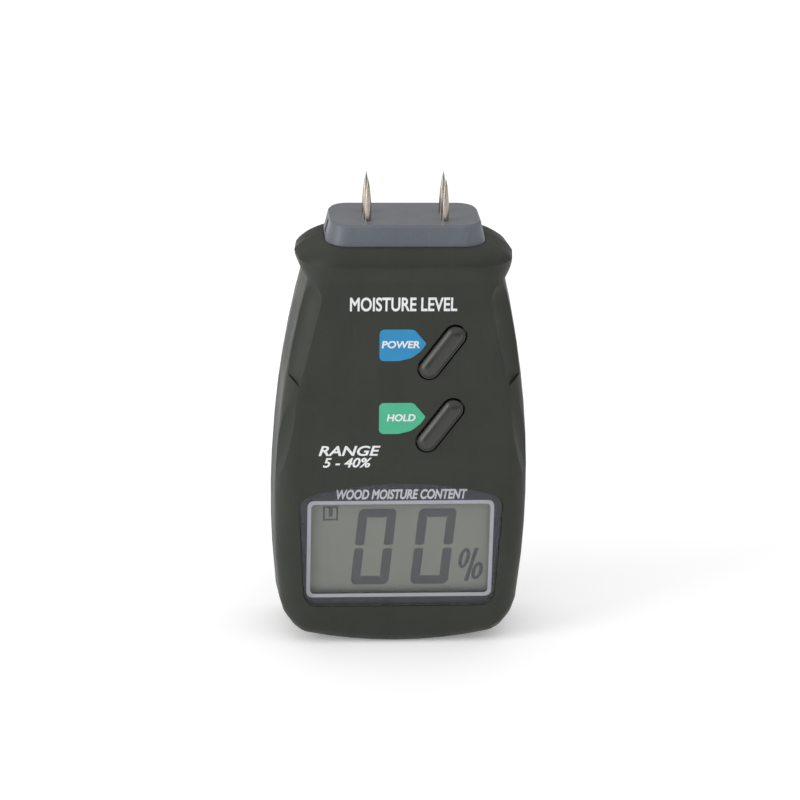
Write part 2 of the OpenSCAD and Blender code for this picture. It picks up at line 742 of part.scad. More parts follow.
module housing_screws() color("silver")
  for (p = case_screws) for (s = [-1, 1]) screw(s * p[0], p[1], 1.1, 2.4, 1.6, 3, -7.5);

module board_screws() color("silver")
  for (p = board_posts) for (s = [-1, 1]) screw(s * p[0], p[1], 0.8, 1.7, 1, board_back, -9.2);

front_cover();
back_cover();
head_block();
pin_front_left();
pin_front_right();
pin_rear_left();
pin_rear_right();
pin_sockets();
left_pin_strap();
right_pin_strap();
left_lead();
right_lead();
display_lens();
lens_tape();
lcd_front_glass();
lcd_rear_glass();
lcd_reflector();
lcd_frame();
zebra_strip();
circuit_board();
controller_chip();
board_capacitors();
power_switch();
hold_switch();
power_plunger();
hold_plunger();
power_key();
hold_key();
battery_door();
cell_1();
cell_2();
cell_3();
cell_4();
plus_contact();
minus_contact();
top_bridge();
lower_left_bridge();
lower_right_bridge();
housing_screws();
board_screws();
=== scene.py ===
import json
import math

import bmesh
import bpy
from mathutils import Matrix, Vector


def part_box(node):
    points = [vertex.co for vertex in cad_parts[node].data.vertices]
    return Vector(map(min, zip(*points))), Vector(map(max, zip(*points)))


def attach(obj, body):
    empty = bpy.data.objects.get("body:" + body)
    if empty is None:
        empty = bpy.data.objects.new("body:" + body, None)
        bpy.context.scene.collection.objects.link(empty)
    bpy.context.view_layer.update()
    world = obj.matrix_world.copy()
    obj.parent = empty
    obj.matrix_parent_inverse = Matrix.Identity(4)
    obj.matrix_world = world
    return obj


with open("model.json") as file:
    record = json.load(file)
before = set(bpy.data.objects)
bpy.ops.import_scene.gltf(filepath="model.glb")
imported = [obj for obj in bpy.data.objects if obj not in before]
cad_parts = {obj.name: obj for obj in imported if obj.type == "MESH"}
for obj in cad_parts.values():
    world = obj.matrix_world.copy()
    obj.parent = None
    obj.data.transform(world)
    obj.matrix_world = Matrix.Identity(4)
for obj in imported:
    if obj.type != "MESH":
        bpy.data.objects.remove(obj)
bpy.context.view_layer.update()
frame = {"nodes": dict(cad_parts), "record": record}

MM = 0.001
scene = bpy.context.scene
nodes = frame["nodes"]


def edges_of(node):
    """Lowest and highest corner of a CAD node, in millimetres."""
    low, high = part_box(node)
    return low / MM, high / MM


# ---- camera ----

CAMERA_AZIMUTH = math.radians(-5)
CAMERA_ELEVATION = math.radians(20.5)
CAMERA_ROLL = math.radians(1.47)
CAMERA_DISTANCE = 755.7 * MM
CAMERA_SHIFT_LEFT = 0.252 * MM
CAMERA_SHIFT_UP = 3.779 * MM
LENS_MM = 135
SENSOR_MM = 36
LOOK_AT = Vector((0.37, -0.9, 57.55)) * MM


def make_camera():
    """A long lens in front of the meter, a little to the left of it and above it."""
    a, e, r = CAMERA_AZIMUTH, CAMERA_ELEVATION, CAMERA_ROLL
    back = Vector((math.sin(a) * math.cos(e), -math.cos(a) * math.cos(e), math.sin(e)))
    level = Vector((math.cos(a), math.sin(a), 0))
    upward = back.cross(level)
    right = math.cos(r) * level + math.sin(r) * upward
    up = math.cos(r) * upward - math.sin(r) * level
    place = LOOK_AT + CAMERA_DISTANCE * back - CAMERA_SHIFT_LEFT * right + CAMERA_SHIFT_UP * up
    camera = bpy.data.objects.new("camera", bpy.data.cameras.new("camera"))
    camera.data.lens = LENS_MM
    camera.data.sensor_width = SENSOR_MM
    camera.data.clip_start = 0.05
    camera.data.clip_end = 20
    turn = Matrix((right, up, back)).transposed().to_4x4()
    camera.matrix_world = Matrix.Translation(place) @ turn
    scene.collection.objects.link(camera)
    scene.camera = camera


# ---- short forms for node trees ----

class Tree:
    """Adds nodes to one tree and joins them."""

    def __init__(self, tree):
        self.tree = tree
        tree.nodes.clear()

    def add(self, kind, options=None, **sockets):
        node = self.tree.nodes.new(kind)
        for name, value in (options or {}).items():
            setattr(node, name, value)
        for name, value in sockets.items():
            self.feed(node.inputs[name.replace("_", " ")], value)
        return node

    def feed(self, socket, value):
        if isinstance(value, bpy.types.NodeSocket):
            self.tree.links.new(value, socket)
        else:
            socket.default_value = value

    def mix(self, share, first, second):
        """The colour that is first at share 0 and second at share 1."""
        node = self.add("ShaderNodeMix", {"data_type": "RGBA"})
        for index, value in ((0, share), (6, first), (7, second)):
            self.feed(node.inputs[index], value)
        return node.outputs[2]

    def ramp(self, value, from_low, from_high, to_low, to_high):
        node = self.add("ShaderNodeMapRange", Value=value, From_Min=from_low, From_Max=from_high,
                        To_Min=to_low, To_Max=to_high)
        return node.outputs["Result"]

    def maths(self, operation, first, second):
        node = self.add("ShaderNodeMath", {"operation": operation})
        self.feed(node.inputs[0], first)
        self.feed(node.inputs[1], second)
        return node.outputs[0]

    def noise(self, vector, scale, detail=3, roughness=0.5, distortion=0):
        node = self.add("ShaderNodeTexNoise", Vector=vector, Scale=scale, Detail=detail,
                        Roughness=roughness, Distortion=distortion)
        return node.outputs["Fac"]

    def stretched(self, vector, scale):
        node = self.add("ShaderNodeMapping", Vector=vector, Scale=scale)
        return node.outputs[0]


# ---- studio ----

# strength of the room's light near the horizon and overhead, and the watts of its lights
ROOM_HORIZON = 0.3
ROOM_CEILING = 1.4
LEFT_POWER = 6
RIGHT_POWER = 0.8
FRONT_POWER = 0.3
METER_MIDDLE = Vector((0, 0, 60)) * MM


def soft_light(name, place, size, power):
    """A rectangular studio light that faces the middle of the meter."""
    data = bpy.data.lights.new(name, "AREA")
    data.shape = "RECTANGLE"
    data.size, data.size_y = size
    data.energy = power
    light = bpy.data.objects.new(name, data)
    light.location = place
    aim = METER_MIDDLE - light.location
    light.rotation_euler = aim.to_track_quat("-Z", "Y").to_euler()
    scene.collection.objects.link(light)


def make_studio():
    """A room that is dim round the horizon and bright overhead, with three soft lights."""
    scene.view_settings.view_transform = "Standard"
    world = bpy.data.worlds.new("studio")
    world.use_nodes = True
    build = Tree(world.node_tree)
    ray = build.add("ShaderNodeTexCoord").outputs["Generated"]
    height = build.add("ShaderNodeSeparateXYZ", Vector=ray).outputs["Z"]
    strength = build.ramp(height, 0.25, 0.85, ROOM_HORIZON, ROOM_CEILING)
    background = build.add("ShaderNodeBackground", Strength=strength)
    build.add("ShaderNodeOutputWorld", Surface=background.outputs[0])
    scene.world = world
    soft_light("left_light", (-1.0, -0.45, 0.42), (0.5, 0.9), LEFT_POWER)
    soft_light("right_light", (1.05, -0.4, 0.35), (0.5, 0.9), RIGHT_POWER)
    soft_light("front_light", (-0.35, -1.1, 0.75), (0.8, 0.5), FRONT_POWER)


# ---- shared effects ----

def effect(name, inputs, outputs):
    """An empty shader node group: its tree, its input sockets by name and its output node."""
    tree = bpy.data.node_groups.new(name, "ShaderNodeTree")
    tree.interface.new_socket("Place", in_out="INPUT", socket_type="NodeSocketVector")
    for label, value in inputs.items():
        socket = tree.interface.new_socket(label, in_out="INPUT", socket_type="NodeSocketFloat")
        socket.default_value = value
    for label in outputs:
        tree.interface.new_socket(label, in_out="OUTPUT", socket_type="NodeSocketFloat")
    build = Tree(tree)
    entry = build.add("NodeGroupInput")
    return tree, build, entry.outputs, build.add("NodeGroupOutput").inputs


def moulded_grain():
    """The fine spark-eroded texture of a plastic mould: pits and a soft unevenness."""
    tree, build, given, out = effect("moulded_grain", {"Size": 0.35, "Depth": 1}, ("Height", "Speckle"))
    scale = build.maths("DIVIDE", 1000, given["Size"])
    pits = build.add("ShaderNodeTexVoronoi", Vector=given["Place"], Scale=scale, Randomness=1)
    fine = build.noise(given["Place"], scale, 4, 0.6)
    both = build.maths("ADD", build.maths("MULTIPLY", pits.outputs["Distance"], 0.6), fine)
    build.feed(out["Height"], build.maths("MULTIPLY", both, given["Depth"]))
    build.feed(out["Speckle"], build.ramp(fine, 0.35, 0.65, 0, 1))
    return tree


def handling():
    """Where hands have polished and smudged the surface, in soft patches."""
    tree, build, given, out = effect("handling", {"Patch": 14, "Amount": 1}, ("Smudge", "Cloud"))
    scale = build.maths("DIVIDE", 1000, given["Patch"])
    cloud = build.noise(given["Place"], scale, 5, 0.55, 0.6)
    smear = build.noise(build.stretched(given["Place"], (1.6, 1, 0.5)), scale, 3, 0.5, 1.5)
    smudge = build.maths("MULTIPLY", build.ramp(smear, 0.45, 0.7, 0, 1), given["Amount"])
    build.feed(out["Smudge"], smudge)
    build.feed(out["Cloud"], build.ramp(cloud, 0.3, 0.7, 0, 1))
    return tree


def fine_scratches():
    """Hair-thin scratches that run in two directions."""
    tree, build, given, out = effect("fine_scratches", {"Spacing": 3, "Amount": 1}, ("Scratch",))
    scale = build.maths("DIVIDE", 1000, given["Spacing"])
    found = None
    for turn in (0.5, -0.9):
        spun = build.add("ShaderNodeMapping", Vector=given["Place"], Rotation=(0.3, turn, 0),
                         Scale=(1, 0.4, 0.06))
        lines = build.add("ShaderNodeTexVoronoi", {"feature": "DISTANCE_TO_EDGE"},
                          Vector=spun.outputs[0], Scale=scale)
        thin = build.ramp(lines.outputs["Distance"], 0, 0.012, 1, 0)
        found = thin if found is None else build.maths("MAXIMUM", found, thin)
    gaps = build.ramp(build.noise(given["Place"], 260, 2), 0.5, 0.6, 0, 1)
    amount = build.maths("MULTIPLY", found, gaps)
    build.feed(out["Scratch"], build.maths("MULTIPLY", amount, given["Amount"]))
    return tree


def drawn_lines():
    """Fine parallel lines left by drawing, grinding or rolling, along the local Z axis."""
    tree, build, given, out = effect("drawn_lines", {"Pitch": 0.12, "Depth": 1}, ("Height", "Line"))
    scale = build.maths("DIVIDE", 1000, given["Pitch"])
    lines = build.noise(build.stretched(given["Place"], (1, 1, 0.03)), scale, 3, 0.7)
    build.feed(out["Height"], build.maths("MULTIPLY", lines, given["Depth"]))
    build.feed(out["Line"], build.ramp(lines, 0.3, 0.7, 0, 1))
    return tree


GRAIN = moulded_grain()
HANDLING = handling()
SCRATCHES = fine_scratches()
LINES = drawn_lines()


class Finish:
    """One material: a Principled surface, its own coordinates and the effects placed in it."""

    def __init__(self, name, **constants):
        self.material = bpy.data.materials.new(name)
        self.material.use_nodes = True
        self.build = Tree(self.material.node_tree)
        self.surface = self.build.add("ShaderNodeBsdfPrincipled")
        output = self.build.add("ShaderNodeOutputMaterial")
        self.build.feed(output.inputs["Surface"], self.surface.outputs[0])
        self.place = self.build.add("ShaderNodeTexCoord").outputs["Object"]
        for socket, value in constants.items():
            self.surface.inputs[socket.replace("_", " ")].default_value = value

    def effect(self, tree, **values):
        node = self.build.add("ShaderNodeGroup", {"node_tree": tree}, Place=self.place, **values)
        return node.outputs

    def colour(self, value):
        self.build.feed(self.surface.inputs["Base Color"], value)

    def roughness(self, value):
        self.build.feed(self.surface.inputs["Roughness"], value)

    def bump(self, height, distance, strength=1):
        """Relief with this distance in millimetres between its lowest and highest point."""
        bump = self.build.add("ShaderNodeBump", Height=height, Distance=distance * MM, Strength=strength)
        self.build.feed(self.surface.inputs["Normal"], bump.outputs[0])


def shade(colour, factor):
    """A colour made lighter or darker, with the fourth value that sockets take."""
    return tuple(part * factor for part in colour) + (1,)


# ---- finishes ----

# lighter tone for upward faces: dust that also serves as painted top light
DUST_AND_TOP_LIGHT = (0.32, 0.29, 0.27, 1)
DUST_AND_TOP_LIGHT_FROM = 0.7  # how far a face's normal must point up before dust and painted top light go on it


def moulded_plastic(name, colour, rough=0.5, grain=0.35, depth=0.02, wear=0.12, dust=0, **constants):
    """Textured plastic: mottled colour, smudges that shine, scratches, and dust with painted top light
    on upward faces.

    grain is the size of the mould's texture and depth its height, both in millimetres."""
    finish = Finish(name, **constants)
    build = finish.build
    grains = finish.effect(GRAIN, Size=grain)
    hands = finish.effect(HANDLING)
    scratch = finish.effect(SCRATCHES)["Scratch"]
    tone = build.mix(hands["Cloud"], shade(colour, 0.9), shade(colour, 1.12))
    tone = build.mix(build.maths("MULTIPLY", grains["Speckle"], 0.25), tone, shade(colour, 1.35))
    tone = build.mix(build.maths("MULTIPLY", scratch, 0.2), tone, shade(colour, 2.2))
    normal = build.add("ShaderNodeNewGeometry").outputs["Normal"]
    upward = build.add("ShaderNodeSeparateXYZ", Vector=normal).outputs["Z"]
    # upward faces get the lighter dust tone, which also paints light onto them
    upward = build.ramp(upward, DUST_AND_TOP_LIGHT_FROM, 1, 0, dust)
    dust_and_top_light_share = build.maths("MULTIPLY", upward, build.ramp(hands["Cloud"], 0, 1, 0.8, 1))
    finish.colour(build.mix(dust_and_top_light_share, tone, DUST_AND_TOP_LIGHT))
    smudged = build.ramp(hands["Smudge"], 0, 1, rough, rough - wear)
    finish.roughness(build.maths("ADD", smudged, build.maths("MULTIPLY", scratch, 0.12)))
    finish.bump(grains["Height"], depth)
    return finish.material


def ground_steel(name, colour, rough=0.28, pitch=0.12, depth=0.006):
    """Bright metal with fine lines from grinding and a little tarnish."""
    finish = Finish(name, Metallic=1)
    build = finish.build
    lines = finish.effect(LINES, Pitch=pitch)
    hands = finish.effect(HANDLING, Patch=4)
    tone = build.mix(lines["Line"], shade(colour, 0.8), shade(colour, 1.1))
    finish.colour(build.mix(build.maths("MULTIPLY", hands["Smudge"], 0.4), tone, shade(colour, 0.6)))
    finish.roughness(build.ramp(lines["Line"], 0, 1, rough + 0.12, rough - 0.06))
    finish.bump(lines["Height"], depth)
    return finish.material


def clear_sheet(name, colour, alpha, rough=0.08, **constants):
    """Clear glass or acrylic, with dust and hairline scratches that catch the light."""
    finish = Finish(name, Coat_Weight=0.6, **constants)
    build = finish.build
    hands = finish.effect(HANDLING, Patch=9)
    scratch = finish.effect(SCRATCHES, Spacing=4)["Scratch"]
    finish.colour(build.mix(hands["Cloud"], shade(colour, 0.94), shade(colour, 1.06)))
    finish.roughness(build.ramp(hands["Smudge"], 0, 1, rough, rough + 0.14))
    marked = build.maths("MULTIPLY", scratch, 0.1)
    veil = build.maths("MULTIPLY", hands["Smudge"], 0.02)
    seen = build.maths("ADD", alpha, build.maths("ADD", marked, veil))
    build.feed(finish.surface.inputs["Alpha"], seen)
    finish.bump(hands["Cloud"], 0.002, 0.3)
    return finish.material


def printed_ink(name, colour, rough=0.42, depth=0.006):
    """Screen-printed ink: even, with a faint edge of pinholes and a soft sheen."""
    finish = Finish(name)
    build = finish.build
    grains = finish.effect(GRAIN, Size=0.3)
    hands = finish.effect(HANDLING, Patch=6)
    tone = build.mix(hands["Cloud"], shade(colour, 0.95), shade(colour, 1.04))
    finish.colour(build.mix(build.maths("MULTIPLY", grains["Speckle"], 0.2), tone, shade(colour, 0.86)))
    finish.roughness(build.ramp(hands["Smudge"], 0, 1, rough, rough - 0.1))
    finish.bump(grains["Height"], depth)
    return finish.material


def lcd_film(name, colour, foot_z, reach=2.2):
    """Grey-green polariser film: satin, finely grained, with painted shade darkening it up to reach
    above foot_z in mm.
    """
    finish = Finish(name)
    build = finish.build
    grains = finish.effect(GRAIN, Size=0.12)
    hands = finish.effect(HANDLING, Patch=30)
    height = build.add("ShaderNodeSeparateXYZ", Vector=finish.place).outputs["Z"]
    tone = build.mix(hands["Cloud"], shade(colour, 0.97), shade(colour, 1.03))
    tone = build.mix(build.maths("MULTIPLY", grains["Speckle"], 0.2), tone, shade(colour, 0.93))
    # painted shade: the film darkens towards the bottom of the window, where the lower ledge shades it
    painted_ledge_shade = build.ramp(height, foot_z * MM, (foot_z + reach) * MM, 0.6, 0)
    finish.colour(build.mix(painted_ledge_shade, tone, shade(colour, 0.3)))
    finish.roughness(build.ramp(grains["Speckle"], 0, 1, 0.5, 0.62))
    finish.bump(grains["Height"], 0.003)
    return finish.material


def laminate(name, colour, ink):
    """Circuit board: green solder mask over weave, with buried tracks."""
    finish = Finish(name, Coat_Weight=0.3)
    build = finish.build
    weave = build.add("ShaderNodeTexWave", {"wave_type": "BANDS", "bands_direction": "DIAGONAL"},
                      Vector=finish.place, Scale=900, Distortion=0.5)
    tracks = build.add("ShaderNodeTexBrick", Vector=build.stretched(finish.place, (420, 420, 420)),
                       Scale=1, Mortar_Size=0.05, Mortar_Smooth=0.2, Brick_Width=1.6, Row_Height=0.7)
    hands = finish.effect(HANDLING, Patch=8)
    base = build.mix(weave.outputs["Fac"], shade(colour, 0.85), shade(colour, 1.1))
    finish.colour(build.mix(build.maths("MULTIPLY", tracks.outputs["Fac"], 0.6), base, shade(ink, 1)))
    finish.roughness(build.ramp(hands["Cloud"], 0, 1, 0.28, 0.42))
    finish.bump(build.maths("ADD", weave.outputs["Fac"], tracks.outputs["Fac"]), 0.01)
    return finish.material


def cell_jacket(name, band, body, turn_z):
    """Printed steel jacket of a cell: one end in the band colour, the rest in the body colour."""
    finish = Finish(name, Metallic=0.6, Coat_Weight=0.4)
    build = finish.build
    lines = finish.effect(LINES, Pitch=0.3)
    hands = finish.effect(HANDLING, Patch=5)
    height = build.add("ShaderNodeSeparateXYZ", Vector=finish.place).outputs["Z"]
    share = build.ramp(height, turn_z - 0.1 * MM, turn_z + 0.1 * MM, 0, 1)
    tone = build.mix(share, shade(body, 1), shade(band, 1))
    tone = build.mix(build.maths("MULTIPLY", lines["Line"], 0.15), tone, shade(body, 1.6))
    finish.colour(build.mix(build.maths("MULTIPLY", hands["Smudge"], 0.06), tone, shade(body, 0.6)))
    finish.roughness(build.ramp(hands["Cloud"], 0, 1, 0.3, 0.36))
    finish.bump(lines["Height"], 0.004)
    return finish.material


def striped_rubber(name, dark, light):
    """Conductive rubber strip: thin upright layers of carbon and clear rubber."""
    finish = Finish(name)
    build = finish.build
    stripes = build.add("ShaderNodeTexWave", {"wave_type": "BANDS", "bands_direction": "X"},
                        Vector=finish.place, Scale=1500)
    hands = finish.effect(HANDLING, Patch=3)
    finish.colour(build.mix(stripes.outputs["Fac"], shade(dark, 1), shade(light, 1)))
    finish.roughness(build.ramp(hands["Cloud"], 0, 1, 0.55, 0.75))
    finish.bump(stripes.outputs["Fac"], 0.01)
    return finish.material


# share of the floor's colour that it gives off by itself, and half its width in metres
FLOOR_GLOW = 0.25
FLOOR_REACH = 14
FLOOR_DROP = 0.02 * MM


def paper_floor():
    """Near-white paper with a faint unevenness."""
    finish = Finish("floor_paper")
    build = finish.build
    hands = finish.effect(HANDLING, Patch=160)
    paper = build.mix(hands["Cloud"], (0.9, 0.9, 0.9, 1), (0.93, 0.93, 0.93, 1))
    finish.colour(paper)
    build.feed(finish.surface.inputs["Emission Color"], paper)
    finish.surface.inputs["Emission Strength"].default_value = FLOOR_GLOW
    finish.roughness(build.ramp(hands["Cloud"], 0, 1, 0.8, 0.9))
    return finish.material


def make_floor():
    """A wide flat sheet just under the meter's foot."""
    mesh = bpy.data.meshes.new("floor")
    shape = bmesh.new()
    bmesh.ops.create_grid(shape, x_segments=4, y_segments=4, size=FLOOR_REACH)
    shape.to_mesh(mesh)
    shape.free()
    floor = bpy.data.objects.new("floor", mesh)
    floor.location.z = -FLOOR_DROP
    floor.data.materials.append(paper_floor())
    scene.collection.objects.link(floor)


# ---- colours and finishes by slot ----

# outer edges of the window frame on the lens, and the width of its line, in millimetres
WINDOW_LOW = (-23.5, 12.6)
WINDOW_HIGH = (23.5, 38.9)
FRAME_LINE = 0.95

CASE = (0.025, 0.0275, 0.0205)
KEY = (0.026, 0.0275, 0.0225)
HEAD = (0.105, 0.118, 0.138)
WHITE_INK = (0.78, 0.79, 0.8)
NAVY_INK = (0.017, 0.019, 0.03)
FRAME_INK = (0.43, 0.44, 0.49)
LENS_WORDS = (0.58, 0.59, 0.65)
BLUE_INK = (0.006, 0.24, 0.5)
GREEN_INK = (0.055, 0.44, 0.25)
LCD_TONE = (0.24, 0.26, 0.215)
SEGMENT = (0.06, 0.062, 0.068)


def make_finishes():
    """The finishes by the record's material slots."""
    cell_middle = sum(part.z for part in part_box("cell_1")) / 2
    # height where the painted ledge shade on the display film begins
    film_foot = WINDOW_LOW[1] + 1
    return {
        "case_plastic": moulded_plastic("case_plastic", CASE, 0.5, 0.3, 0.022, Specular_IOR_Level=0.3),
        "door_plastic": moulded_plastic("door_plastic", CASE, 0.52, 0.3, 0.022, Specular_IOR_Level=0.3),
        # the head's lighter top is dust plus painted top light
        "head_plastic": moulded_plastic("head_plastic", HEAD, 0.42, 0.5, 0.008, dust=0.22),
        "key_plastic": moulded_plastic("key_plastic", KEY, 0.32, 0.5, 0.008),
        "frame_plastic": moulded_plastic("frame_plastic", (0.55, 0.55, 0.52), 0.45, 0.6, 0.01),
        "chip_plastic": moulded_plastic("chip_plastic", (0.012, 0.012, 0.013), 0.5, 0.2, 0.01),
        "switch_plastic": moulded_plastic("switch_plastic", (0.02, 0.02, 0.022), 0.4, 0.4, 0.01),
        "plunger_plastic": moulded_plastic("plunger_plastic", (0.05, 0.05, 0.05), 0.35, 0.4, 0.006),
        "capacitor_ceramic": moulded_plastic("capacitor_ceramic", (0.42, 0.29, 0.17), 0.5, 0.2, 0.008),
        "wire_cover": moulded_plastic("wire_cover", (0.4, 0.03, 0.025), 0.4, 0.6, 0.006),
        "tape_black": moulded_plastic("tape_black", (0.015, 0.015, 0.015), 0.8, 0.2, 0.03),
        "zebra_rubber": striped_rubber("zebra_rubber", (0.02, 0.02, 0.022), (0.25, 0.25, 0.27)),
        "pin_steel": ground_steel("pin_steel", (0.42, 0.37, 0.32), 0.22, 0.3),
        "contact_steel": ground_steel("contact_steel", (0.66, 0.64, 0.6), 0.25),
        "screw_steel": ground_steel("screw_steel", (0.5, 0.5, 0.52), 0.35),
        "socket_brass": ground_steel("socket_brass", (0.72, 0.52, 0.25), 0.3),
        "lens_clear": clear_sheet("lens_clear", (0.2, 0.2, 0.22), 0.1, 0.06),
        "lcd_glass": lcd_film("lcd_glass", LCD_TONE, film_foot),
        "reflector_film": lcd_film("reflector_film", LCD_TONE, film_foot),
        "board_laminate": laminate("board_laminate", (0.012, 0.13, 0.05), (0.03, 0.3, 0.13)),
        "cell_jacket": cell_jacket("cell_jacket", (0.7, 0.42, 0.1), (0.05, 0.05, 0.055), cell_middle),
    }


# ---- CAD nodes ----

def smooth_shell():
    """A modifier tree that shades a shell smoothly up to its real corners."""
    tree = bpy.data.node_groups.new("smooth_shell", "GeometryNodeTree")
    tree.interface.new_socket("Geometry", in_out="INPUT", socket_type="NodeSocketGeometry")
    tree.interface.new_socket("Geometry", in_out="OUTPUT", socket_type="NodeSocketGeometry")
    build = Tree(tree)
    entry = build.add("NodeGroupInput").outputs[0]
    merged = build.add("GeometryNodeMergeByDistance", Geometry=entry, Distance=2e-6)
    plain = build.add("GeometryNodeRemoveAttribute", Geometry=merged.outputs[0], Name="custom_normal")
    faces = build.add("GeometryNodeSetShadeSmooth", {"domain": "FACE"}, Geometry=plain.outputs[0])
    angle = build.add("GeometryNodeInputMeshEdgeAngle").outputs["Unsigned Angle"]
    gentle = build.add("FunctionNodeCompare", {"data_type": "FLOAT", "operation": "LESS_THAN"})
    build.feed(gentle.inputs[0], angle)
    build.feed(gentle.inputs[1], math.radians(24))
    edges = build.add("GeometryNodeSetShadeSmooth", {"domain": "EDGE"}, Geometry=faces.outputs[0],
                      Shade_Smooth=gentle.outputs[0])
    build.feed(build.add("NodeGroupOutput").inputs[0], edges.outputs[0])
    return tree


def dress_nodes(finishes):
    """Gives every CAD node its finish and smooth shading."""
    smoother = smooth_shell()
    slots = {row["node"]: row["material_slot"] for row in frame["record"]["subparts"]}
    for name, piece in nodes.items():
        piece.data.materials.clear()
        piece.data.materials.append(finishes[slots[name]])
        smooth = piece.modifiers.new("smooth_shell", "NODES")
        smooth.node_group = smoother
        weighted = piece.modifiers.new("weighted_normals", "WEIGHTED_NORMAL")
        weighted.keep_sharp = True


# ---- prints and display marks ----

def arc(x, z, r, start, end, steps=8):
    """Points on an arc round (x, z), angles in degrees."""
    turns = (math.radians(start + (end - start) * i / steps) for i in range(steps + 1))
    return [(x + r * math.cos(t), z + r * math.sin(t)) for t in turns]


def rounded_loop(corners):
    """A closed outline from (x, z, radius) corners in order, each corner rounded by its radius."""
    loop = []
    count = len(corners)
    for i, (x, z, radius) in enumerate(corners):
        here = Vector((x, z))
        before = (Vector(corners[i - 1][:2]) - here).normalized()
        after = (Vector(corners[(i + 1) % count][:2]) - here).normalized()
        if radius <= 0:
            loop.append((x, z))
            continue
        half = before.angle(after) / 2
        centre = here + (before + after).normalized() * radius / math.sin(half)
        first = here + before * radius / math.tan(half) - centre
        last = here + after * radius / math.tan(half) - centre
        swing = first.angle_signed(last)
        for step in range(9):
            turned = Matrix.Rotation(-swing * step / 8, 2) @ first
            loop.append(tuple(centre + turned))
    return loop


def box_loop(low_x, low_z, high_x, high_z, radius=0):
    """A closed rectangle, with rounded corners where radius isn't 0."""
    return rounded_loop([(low_x, low_z, radius), (high_x, low_z, radius),
                         (high_x, high_z, radius), (low_x, high_z, radius)])


def ellipse(x, z, rx, rz, lean=0, steps=28):
    """A closed oval round (x, z) that leans to the right by lean for each step up."""
    turns = (math.tau * i / steps for i in range(steps))
    return [(x + rx * math.cos(t) + lean * rz * math.sin(t), z + rz * math.sin(t)) for t in turns]


def flat_piece(name, curve, map_point, finish, body="case"):
    """Turns a filled flat curve into a thin closed mesh, placed by map_point, in millimetres."""
    draft = bpy.data.objects.new(name + "_draft", curve)
    scene.collection.objects.link(draft)
    graph = bpy.context.evaluated_depsgraph_get()
    mesh = bpy.data.meshes.new_from_object(draft.evaluated_get(graph))
    bpy.data.objects.remove(draft)
    shape = bmesh.new()
    shape.from_mesh(mesh)
    bmesh.ops.remove_doubles(shape, verts=shape.verts, dist=1e-5)
    place = map_point([v.co.copy() for v in shape.verts])
    for vertex in shape.verts:
        vertex.co = place(vertex.co) * MM
    bmesh.ops.recalc_face_normals(shape, faces=shape.faces)
    shape.to_mesh(mesh)
    shape.free()
    mesh.materials.clear()
    mesh.materials.append(finish)
    piece = bpy.data.objects.new(name, mesh)
    scene.collection.objects.link(piece)
    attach(piece, body)
    return piece


def print_shape(name, loops, near, far, finish, body="case"):
    """A printed patch from closed outlines; an outline inside another is a hole."""
    curve = bpy.data.curves.new(name, "CURVE")
    curve.dimensions = "2D"
    curve.fill_mode = "BOTH"
    curve.extrude = 0.5
    for loop in loops:
        spline = curve.splines.new("POLY")
        spline.points.add(len(loop) - 1)
        for point, (x, z) in zip(spline.points, loop):
            point.co = (x, z, 0, 1)
        spline.use_cyclic_u = True

    def map_point(points):
        return lambda p: Vector((p.x, (near + far) / 2 - p.z * (far - near), p.y))

    return flat_piece(name, curve, map_point, finish, body)


def print_words(name, words, low, high, near, far, finish, lean=0.0, weight=0.022):
    """Printed capitals that fill the box from low to high, both (x, z) in millimetres."""
    curve = bpy.data.curves.new(name, "FONT")
    curve.body = words
    curve.shear = lean
    curve.bevel_depth = weight
    curve.bevel_resolution = 1
    curve.extrude = 0.5
    curve.resolution_u = 5

    def map_point(points):
        left, right = min(p.x for p in points), max(p.x for p in points)
        foot, top = min(p.y for p in points), max(p.y for p in points)
        wide = (high[0] - low[0]) / (right - left)
        tall = (high[1] - low[1]) / (top - foot)
        return lambda p: Vector((low[0] + (p.x - left) * wide, (near + far) / 2 - p.z * (far - near),
                                 low[1] + (p.y - foot) * tall))

    return flat_piece(name, curve, map_point, finish)


# how far a print stands out of the face and reaches into it, in millimetres
PRINT_PROUD = 0.04
PRINT_SUNK = 0.02
TAG_RISE = 2.1  # height of a key tag's middle above the middle of its key


def tag_loop(middle, shift):
    """A tag pointing right: round corners, a blunt tip and a lower edge that curves up to it."""
    foot, top = middle - 4.3, middle + 3.9
    corners = [(-6.4, foot, 1.2), (-1.6, foot, 5), (1.6, middle - 3.5, 4), (3.9, middle - 1.6, 3),
               (5.1, middle + 0.2, 0.5), (2.0, top, 1.6), (-6.5, top, 1.2)]
    return [(x + shift, z) for x, z in rounded_loop(corners)]


def key_prints(name, ink, white, left, right, shift, near, far):
    """The tag beside a key and the word on it, which runs from left to right."""
    low, high = edges_of(name + "_key")
    middle = (low.z + high.z) / 2 + TAG_RISE
    half = 0.95
    print_shape(name + "_tag", [tag_loop(middle, shift)], near, far, ink)
    print_words(name + "_word", name.upper(), (left, middle - half), (right, middle + half),
                near - PRINT_PROUD, near + PRINT_SUNK, white, 0.12, 0.03)


def case_prints(white, blue, green):
    """Title, key tags and range lines printed on the front face."""
    face = edges_of("display_lens")[0].y - 0.15
    near, far = face - PRINT_PROUD, face + PRINT_SUNK
    print_words("title_print", "MOISTURE LEVEL", (-13.9, 89.4), (12.4, 93.0), near, far, white)
    key_prints("power", blue, white, -5.9, 3.5, 0, near, far)
    key_prints("hold", green, white, -4.2, 2.9, 0.3, near, far)
    lean = 0.25
    print_words("range_print", "RANGE", (-21.0, 51.5), (-5.6, 54.2), near, far, white,
                lean)
    print_words("range_span_print", "5 - 40%", (-19.9, 48.4), (-7.7, 51.0), near, far, white,
                lean)


